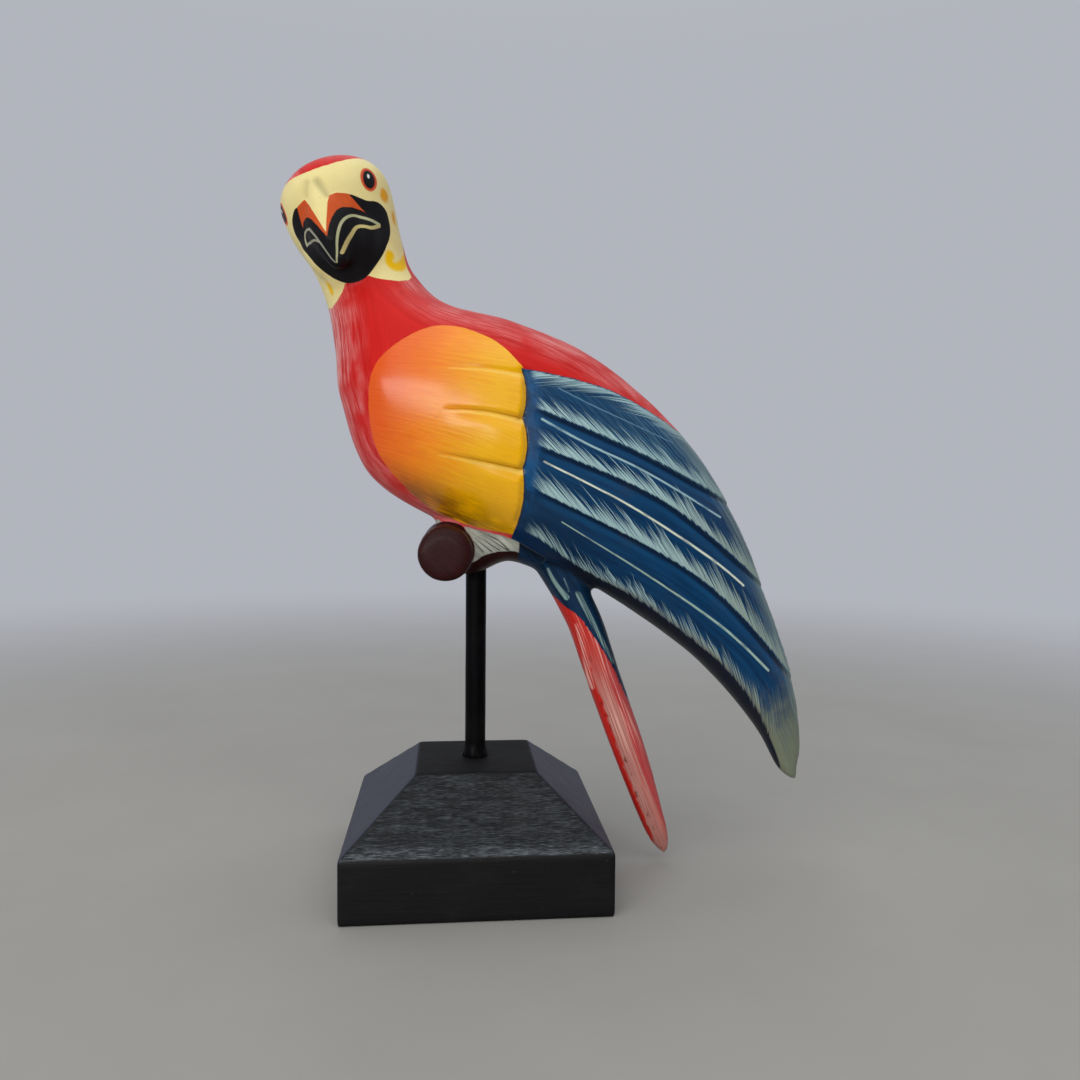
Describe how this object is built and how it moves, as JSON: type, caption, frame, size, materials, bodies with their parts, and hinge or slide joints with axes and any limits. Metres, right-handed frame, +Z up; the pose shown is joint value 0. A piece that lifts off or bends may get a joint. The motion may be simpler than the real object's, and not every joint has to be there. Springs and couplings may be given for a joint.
{
  "type": "carved wooden parrot figurine",
  "caption": "Hand-carved, painted wooden parrot with a long wing sweep and tail, turned head and branch stub, on a thin black rod in a bevelled black block; a standing ornament.",
  "frame": {"origin": "centre of the square underside of the black block, on the table", "axes": "+Z up along the rod; the bird's chest faces -X, its tail and wings run to +X, and its head looks towards -Y"},
  "size_m": [0.2059, 0.096, 0.2724],
  "materials": {
    "base_paint": "black paint on wood, satin, grain showing",
    "rod_paint": "black paint on dowel, semi-gloss",
    "parrot_paint": "hand-painted wood, satin, dry-brushed"
  },
  "bodies": {
    "root": {"base": "base_paint", "rod": "rod_paint", "parrot": "parrot_paint"}
  },
  "joints": []
}
